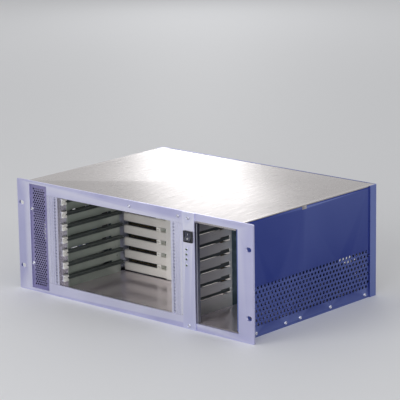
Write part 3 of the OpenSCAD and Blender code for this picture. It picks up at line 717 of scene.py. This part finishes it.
@dataclass
class ScrewSet:
    """Pan-head screws that stand for one CAD group.

    Attributes:
        node: the CAD group.
        outward: direction from the shank to the head, or None for away from the middle in X.
        head_r: radius of the head.
        head_h: height of the head.
        shank_r: radius of the shank.
        recess_l: length of the cross recess.
        recess_w: width of its arms.
        recess_h: depth of the recess.
        recess_run: length of the slope at an arm's end.
        recess_bevel: width of the slope along an arm's sides.
        thread: distance between the thread's turns.
        thread_depth: depth of the thread.
        head_grid: points along each side of the head's grid.
        shank_steps: points round the shank.
        turn_rows: rows of points in one turn of the thread.
    """

    node: str
    outward: tuple[float, float, float] | None
    head_r: float = 2.8 * MM
    head_h: float = 1.6 * MM
    shank_r: float = 1.5 * MM
    recess_l: float = 3.2 * MM
    recess_w: float = 0.7 * MM
    recess_h: float = 0.9 * MM
    recess_run: float = 0.5 * MM
    recess_bevel: float = 0.3 * MM
    thread: float = 0.5 * MM
    thread_depth: float = 0.25 * MM
    head_grid: int = 19
    shank_steps: int = 12
    turn_rows: int = 4

    def head(self) -> Surface:
        """The head's top as a disc of heights.

        A square grid (u, v) lands on the disc at x = r u sqrt(1 - v v / 2), y = r v sqrt(1 - u u / 2).
        Its height is h (1 - q^4)^(1/2) for q = distance / r, less the recess where the point lies
        in one arm of the cross.

        Returns:
            The head, its underside's rim at zero.
        """
        line = np.linspace(-1, 1, self.head_grid)
        u, v = np.meshgrid(line, line, indexing="ij")
        x = self.head_r * u * np.sqrt(1 - v * v / 2)
        y = self.head_r * v * np.sqrt(1 - u * u / 2)
        q = np.minimum(np.hypot(x, y) / self.head_r, 1)
        z = self.head_h * np.sqrt(1 - q**4)
        arms = [
            np.clip((self.recess_l / 2 - np.abs(a)) / self.recess_run, 0, 1)
            * np.clip((self.recess_w - np.abs(b)) / self.recess_bevel, 0, 1)
            for a, b in ((x, y), (y, x))
        ]
        z = z - self.recess_h * np.maximum(*arms)
        return grid(np.stack([x, y, z], -1))

    def shank(self, length: float) -> Surface:
        """The threaded shank: radius r - d |2 frac(z / p - a / 2 pi) - 1| at angle a and height -z.

        Args:
            length: from under the head to the tip.

        Returns:
            The shank with its tip and the head's underside.
        """
        rows = max(self.turn_rows, int(length / self.thread * self.turn_rows))
        z = np.linspace(0, length, rows)[:, None]
        angle = np.linspace(0, 2 * np.pi, self.shank_steps, endpoint=False)[None]
        wave = np.abs(2 * np.mod(z / self.thread - angle / (2 * np.pi), 1) - 1)
        r = self.shank_r - self.thread_depth * wave
        rim = np.full_like(angle, self.head_r)
        r = np.vstack([rim, r, 0 * angle])
        z = np.vstack([[[0.0]], -z, [[-length]]])
        points = np.stack([r * np.cos(angle), r * np.sin(angle), z + 0 * angle], -1)
        return grid(points, wrap_cols=True)

    def build(self) -> bpy.types.Object:
        """Builds the group on the places of its CAD screws.

        Returns:
            The piece.
        """
        parts = []
        for low, high in islands(self.node):
            middle = (low + high) / 2
            way = np.array(self.outward or (math.copysign(1, middle[0]), 0, 0), float)
            length = float(np.abs((high - low) @ way)) - self.head_h
            seat = middle + way * (length / 2 + self.head_h / 2 - self.head_h)
            parts.append(joined([self.head(), self.shank(length)]).turned(way).at(seat))
        mesh = finished_mesh(self.node + "_turned", joined(parts))
        return place_piece(self.node + "_turned", mesh, SCREW_STEEL, replaces=[self.node])


# ---------------------------------------------------------------- sub-assemblies


@dataclass
class FrontPanel:
    """The punched front frame, its grille, the control strip and their screws."""

    edge_mm: float = 0.4
    screws: list[ScrewSet] = field(
        default_factory=lambda: [
            ScrewSet(n, (0, -1, 0)) for n in ("grille_screws", "strip_screws", "front_screws")
        ]
    )

    def build(self) -> None:
        """Rounds the punched edges, dresses the grille and sets the screws."""
        # The frame's lilac is painted reflection of the blue surroundings.
        rounded_node("front_frame", FRONT_ANODISED, self.edge_mm)
        # Strip: lighter tone is painted light, lilac is painted reflection.
        rounded_node("control_strip", STRIP_ANODISED, self.edge_mm)
        # Grille: darker tone is painted shade, lilac is painted reflection.
        dress(GRILLE_ANODISED, "vent_grille")
        for group in self.screws:
            group.build()


@dataclass
class PowerSwitch:
    """The rocker switch and its two generic marks, a bar for on and a ring for off.

    Attributes:
        edge_mm: rounding of the moulded edges.
        face_in: how far the rocker's faces stand from its pivot, at mid-face.
        mark_up: distance from the pivot to a mark along the rocker.
        lean_deg: how far the rocker leans at rest.
        valley_deg: slope of each face.
        bar: size of the bar.
        bar_round: rounding of the bar's edges.
        ring_r: inner and outer radius of the ring.
        ring_h: lowest and highest point of the ring, from the rocker's face.
        ring_steps: points round the ring.
    """

    edge_mm: float = 0.5
    face_in: float = 4.0 * MM
    mark_up: float = 3.2 * MM
    lean_deg: float = 7.0
    valley_deg: float = 10.46
    bar: tuple[float, float, float] = (0.5 * MM, 2.4 * MM, 0.12 * MM)
    bar_round: float = 0.05 * MM
    ring_r: tuple[float, float] = (0.8 * MM, 1.2 * MM)
    ring_h: tuple[float, float] = (-0.05 * MM, 0.06 * MM)
    ring_steps: int = 24

    def on_face(self, surface: Surface, side: int) -> Surface:
        """Lays a mark drawn in X and Y, +Z outwards, on one of the rocker's faces.

        Args:
            surface: the mark.
            side: 1 for the upper face, -1 for the lower one.

        Returns:
            The mark in place on the leaning rocker.
        """
        joint = next(j for j in frame["record"]["behaviour"]["joints"] if j["child"] == "rocker")
        upright = Matrix.Rotation(math.radians(90), 4, "X")
        slope = Matrix.Rotation(math.radians(side * self.valley_deg), 4, "X")
        lean = Matrix.Rotation(math.radians(-self.lean_deg), 4, "X")
        out = Matrix.Translation((0, -self.face_in, side * self.mark_up))
        whole = Matrix.Translation(joint["pos_m"]) @ lean @ out @ slope @ upright
        turn, move = np.array(whole.to_3x3()), np.array(whole.translation)
        return Surface(surface.points @ turn.T + move, surface.quads)

    def build(self) -> None:
        """Builds the switch."""
        rounded_node("switch_housing", BLACK_NYLON, self.edge_mm)
        rounded_node("switch_rocker", ROCKER_BLACK, self.edge_mm, "rocker")
        bar = rounded_block(self.bar, self.bar_round, 1)
        (inner, outer), (low, high) = self.ring_r, self.ring_h
        outline = [(inner, low), (outer, low), (outer, high), (inner, high), (inner, low)]
        ring = revolved(outline, self.ring_steps)
        marks = joined([self.on_face(bar, 1), self.on_face(ring, -1)])
        mesh = finished_mesh("rocker_marks", marks)
        place_piece("rocker_marks", mesh, MARK_WHITE, "rocker")


@dataclass
class Indicators:
    """Four lenses in turned collars, and their board.

    Attributes:
        bore_r: inner radius of a collar.
        collar_r: its outer radius.
        collar_h: its height.
        draft: how much narrower its side is at the shoulder.
        crown: how much narrower its top is.
        shoulder: height of the shoulder, as a share of the collar's.
        lip: height at the bore, as a share of the collar's.
        steps: points round a collar.
    """

    bore_r: float = 1.6 * MM
    collar_r: float = 2.4 * MM
    collar_h: float = 0.5 * MM
    draft: float = 0.1 * MM
    crown: float = 0.5 * MM
    shoulder: float = 0.7
    lip: float = 0.6
    steps: int = 28

    def build(self) -> None:
        """Builds the collars round the lenses and dresses the rest."""
        dress(LENS_GREEN, "indicator_lenses")
        dress(CIRCUIT_BOARD, "indicator_board")
        dress(CONTACT_GOLD, "board_spacers")
        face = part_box("control_strip")[0][1]
        profile = [
            (self.bore_r, 0.0), (self.collar_r, 0.0),
            (self.collar_r - self.draft, self.collar_h * self.shoulder),
            (self.collar_r - self.crown, self.collar_h),
            (self.bore_r, self.collar_h * self.lip), (self.bore_r, 0.0),
        ]
        parts = []
        for low, high in islands("indicator_lenses"):
            middle = (low + high) / 2
            collar = revolved(profile, self.steps).turned((0, -1, 0))
            parts.append(collar.at((middle[0], face, middle[2])))
        mesh = finished_mesh("indicator_collars", joined(parts))
        place_piece("indicator_collars", mesh, SCREW_STEEL)


@dataclass
class CardCage:
    """Rails, walls, guides and noses round the seven card places."""

    rail_edge_mm: float = 0.4
    nose_edge_mm: float = 0.6

    def build(self) -> None:
        """Rounds what is seen close, and dresses the rest."""
        for side in ("left", "right"):
            # The rails' lilac is painted reflection of the blue surroundings.
            rounded_node(side + "_front_rail", RAIL_EXTRUDED, self.rail_edge_mm)
            rounded_node(side + "_guide_noses", NOSE_WHITE, self.nose_edge_mm)
            # Guides dark grey: partly painted shade in the wall slots.
            dress(GUIDE_PLASTIC, side + "_card_guides")
            # Posts dark blue-green: painted shade.
            dress(POST_PAINTED_SHADE, side + "_guide_post")
            dress(SCREW_STEEL, side + "_tapped_strip")
        # Left wall grey-green: painted shade on the same cage metal that is near-white on the right wall.
        dress(CAGE_GREY_PAINTED_SHADE, "left_cage_wall")
        # Right wall near-white: painted light on the cage metal.
        dress(CAGE_WHITE_PAINTED_LIGHT, "right_cage_wall")
        dress(FLOOR_POLISHED, "cage_floor", "bay_floor")
        dress(ZINC_STEEL, "bay_return_angle")


@dataclass
class Backplane:
    """Channel bars, sockets with their contacts, coding blocks and the board behind them.

    Attributes:
        bar_edge_mm: rounding of the bars and straps.
        contact_pitch: distance from one contact to the next.
        contact: size of a contact.
        contact_in: from a socket's face to the middle of a contact.
        contact_up: from the slot's middle to the middle of a contact.
        socket_end: plain length at each end of a socket.
    """

    bar_edge_mm: float = 0.3
    contact_pitch: float = 2.54 * MM
    contact: tuple[float, float, float] = (1.3 * MM, 5.0 * MM, 0.35 * MM)
    contact_in: float = 4 * MM
    contact_up: float = 0.76 * MM
    socket_end: float = 3 * MM

    def contacts(self) -> bpy.types.Object:
        """Sets two rows of gold contacts in the slot of every edge socket.

        Returns:
            The piece with all contacts.
        """
        block = rounded_block(self.contact, 0.1 * MM, 1)
        places = []
        for low, high in islands("edge_sockets"):
            middle = (low + high) / 2
            count = int((high[0] - low[0] - 2 * self.socket_end) / self.contact_pitch)
            x = middle[0] + (np.arange(count + 1) - count / 2) * self.contact_pitch
            for side in (-1, 1):
                y, z = low[1] + self.contact_in, middle[2] + side * self.contact_up
                places.append(np.stack([x, np.full_like(x, y), np.full_like(x, z)], -1))
        mesh = finished_mesh("socket_contacts", block.at(np.vstack(places)))
        return place_piece("socket_contacts", mesh, CONTACT_GOLD)

    def build(self) -> None:
        """Builds the backplane's visible parts."""
        # Bars and straps near-white: painted light on the cage metal.
        rounded_node("channel_bars", CAGE_WHITE_PAINTED_LIGHT, self.bar_edge_mm)
        rounded_node("tie_straps", CAGE_WHITE_PAINTED_LIGHT, self.bar_edge_mm)
        rounded_node("coding_blocks", NOSE_WHITE, self.bar_edge_mm)
        dress(BLACK_NYLON, "edge_sockets", "power_sockets")
        dress(CIRCUIT_BOARD, "backplane_board")
        dress(ZINC_STEEL, "left_backplane_bracket", "right_backplane_bracket")
        ScrewSet("backplane_screws", (0, -1, 0)).build()
        self.contacts()


@dataclass
class Chassis:
    """Tray, side walls, cover and rear frame."""

    edge_mm: float = 0.3

    def build(self) -> None:
        """Dresses the sheets and sets their screws."""
        # Side walls and rear frame: their deep blue is painted reflection of the blue surroundings.
        dress(WALL_PAINTED_BLUE_REFLECTION, "left_side_wall", "right_side_wall", "rear_frame")
        dress(ZINC_STEEL, "base_tray")
        rounded_node("top_cover", COVER_BRUSHED, self.edge_mm)
        ScrewSet("wall_screws", None).build()


@dataclass
class RearPanels:
    """The two rear cover panels with their screws."""

    edge_mm: float = 0.4

    def build(self) -> None:
        """Rounds the panels and sets their screws."""
        rounded_node("rear_card_panel", COVER_BRUSHED, self.edge_mm)
        rounded_node("rear_bay_panel", COVER_BRUSHED, self.edge_mm)
        ScrewSet("rear_screws", (0, 1, 0)).build()


@dataclass
class FanPair:
    """Two axial fans on their plate."""

    edge_mm: float = 0.4

    def build(self) -> None:
        """Dresses the fans and sets their screws."""
        dress(ZINC_STEEL, "fan_plate")
        for place in ("front", "rear"):
            dress(BLACK_NYLON, place + "_fan_frame")
            dress(BLACK_NYLON, place + "_fan_rotor")
        ScrewSet("fan_screws", (1, 0, 0)).build()


# ---------------------------------------------------------------- studio


@dataclass
class Lamp:
    """A rectangular softbox.

    Attributes:
        name: its name.
        place: its middle.
        aim: the point it faces.
        size: its width and height.
        watts: its power.
        colour: sRGB hex colour of its light.
    """

    name: str
    place: tuple[float, float, float]
    aim: tuple[float, float, float]
    size: tuple[float, float]
    watts: float
    colour: str = "FFFFFF"

    def build(self) -> None:
        """Adds the lamp, turned to its aim."""
        data = bpy.data.lights.new(self.name, "AREA")
        data.shape = "RECTANGLE"
        data.size, data.size_y = self.size
        data.energy = self.watts
        data.color = linear(self.colour)[:3]
        lamp = bpy.data.objects.new(self.name, data)
        bpy.context.scene.collection.objects.link(lamp)
        lamp.location = self.place
        way = Vector(self.aim) - Vector(self.place)
        lamp.rotation_euler = way.to_track_quat("-Z", "Y").to_euler()


@dataclass
class Studio:
    """Plain pale floor, pale surroundings, softboxes and the camera.

    Attributes:
        floor_size: side of the floor.
        floor_colour: sRGB hex colour of the floor.
        sky: strength of what camera and reflections see.
        fill: strength of what lights the object from all round.
        azimuth_deg: how far the camera stands round to the right of the front.
        elevation_deg: how far it looks down.
        roll_deg: how far it is tilted.
        distance: from the camera to the aim.
        aim: the point it aims at, before its sideways steps.
        steps: its sideways and upward steps.
        focal_mm: focal length.
        sensor_mm: width of the sensor.
        clip_end: farthest distance the camera sees.
        paper_rough: lowest and highest roughness of the floor.
    """

    floor_size: float = 24.0
    floor_colour: str = "E6E7EA"
    sky: float = 0.85
    fill: float = 0.5
    azimuth_deg: float = 41.9
    elevation_deg: float = 13.51
    roll_deg: float = -0.87
    distance: float = 3.2264
    aim: tuple[float, float, float] = (0.0, -0.007371, 0.088)
    steps: tuple[float, float] = (0.0045, 0.0594)
    focal_mm: float = 187.67
    sensor_mm: float = 36.0
    clip_end: float = 60.0
    paper_rough: tuple[float, float] = (0.55, 0.7)
    lamps: list[Lamp] = field(
        default_factory=lambda: [
            Lamp("key_softbox", (-1.0, -2.8, 1.5), (0, 0, 0.08), (1.6, 1.2), 26.0),
            Lamp("front_softbox", (1.3, -2.6, 0.7), (0, 0, 0.08), (1.0, 0.8), 20.0),
            Lamp("streak_softbox", (-2.1, 2.35, 0.85), (0, 0, 0.17), (0.35, 0.9), 3.0),
            Lamp("right_softbox", (3.0, 0.6, 1.3), (0, 0, 0.08), (1.2, 1.2), 10.0),
        ]
    )

    def floor(self) -> None:
        """Adds the pale floor, which shows the object's shadow."""
        half = self.floor_size / 2
        flat = np.array([[[-half, -half, 0], [half, -half, 0]], [[-half, half, 0], [half, half, 0]]])
        mesh = finished_mesh("studio_floor", grid(flat))
        material, tree, place = start_material("matt_studio_paper")
        fibres = add_node(tree, "ShaderNodeTexNoise", links={"Vector": place}, Scale=per_mm(4.0), Detail=2.0)
        gloss = add_node(
            tree, "ShaderNodeMapRange", links={"Value": fibres.outputs[0]},
            To_Min=self.paper_rough[0], To_Max=self.paper_rough[1],
        )
        shader = add_node(
            tree, "ShaderNodeBsdfPrincipled", links={"Roughness": gloss.outputs[0]},
            Base_Color=linear(self.floor_colour),
        )
        add_node(tree, "ShaderNodeOutputMaterial", links={"Surface": shader.outputs[0]})
        mesh.materials.append(material)
        sheet = bpy.data.objects.new("studio_floor", mesh)
        bpy.context.scene.collection.objects.link(sheet)

    def surroundings(self) -> None:
        """Lights the object from all round, and shows camera and reflections a pale room."""
        world = bpy.data.worlds.new("pale_room")
        world.use_nodes = True
        tree = world.node_tree
        tree.nodes.clear()
        ray = add_node(tree, "ShaderNodeLightPath")
        seen = ray.outputs["Is Camera Ray"]
        for kind in ("Is Glossy Ray", "Is Transmission Ray"):
            either = add_node(
                tree, "ShaderNodeMath", {"operation": "MAXIMUM"}, {0: seen, 1: ray.outputs[kind]},
            )
            seen = either.outputs[0]
        strength = add_node(
            tree, "ShaderNodeMapRange", links={"Value": seen}, To_Min=self.fill, To_Max=self.sky,
        )
        light = add_node(
            tree, "ShaderNodeBackground", links={"Strength": strength.outputs[0]}, Color=(1, 1, 1, 1),
        )
        add_node(tree, "ShaderNodeOutputWorld", links={"Surface": light.outputs[0]})
        bpy.context.scene.world = world

    def camera(self) -> None:
        """Sets the camera at its angle, aimed a little off the aim by its steps."""
        a, e, r = (math.radians(v) for v in (self.azimuth_deg, self.elevation_deg, self.roll_deg))
        back = Vector((math.sin(a) * math.cos(e), -math.cos(a) * math.cos(e), math.sin(e)))
        level = (-back).cross(Vector((0, 0, 1))).normalized()
        rise = level.cross(-back)
        right = math.cos(r) * level + math.sin(r) * rise
        up = -math.sin(r) * level + math.cos(r) * rise
        eye = Vector(self.aim) + back * self.distance + right * self.steps[0] + up * self.steps[1]
        data = bpy.data.cameras.new("studio_camera")
        data.lens = self.focal_mm
        data.sensor_width = self.sensor_mm
        data.clip_end = self.clip_end
        camera = bpy.data.objects.new("studio_camera", data)
        bpy.context.scene.collection.objects.link(camera)
        turn = Matrix((right, up, back)).transposed().to_4x4()
        camera.matrix_world = Matrix.Translation(eye) @ turn
        bpy.context.scene.camera = camera

    def build(self) -> None:
        """Builds the studio."""
        bpy.context.scene.view_settings.view_transform = "Standard"
        self.floor()
        self.surroundings()
        self.camera()
        for lamp in self.lamps:
            lamp.build()


def main() -> None:
    """Builds every sub-assembly in order."""
    logging.basicConfig(level=logging.INFO, format="%(message)s")
    Studio().build()
    for part in (
        FrontPanel(), PowerSwitch(), Indicators(), CardCage(), Backplane(), Chassis(),
        RearPanels(), FanPair(),
    ):
        log.info("building %s", type(part).__name__)
        part.build()


if __name__ == "__main__":
    main()
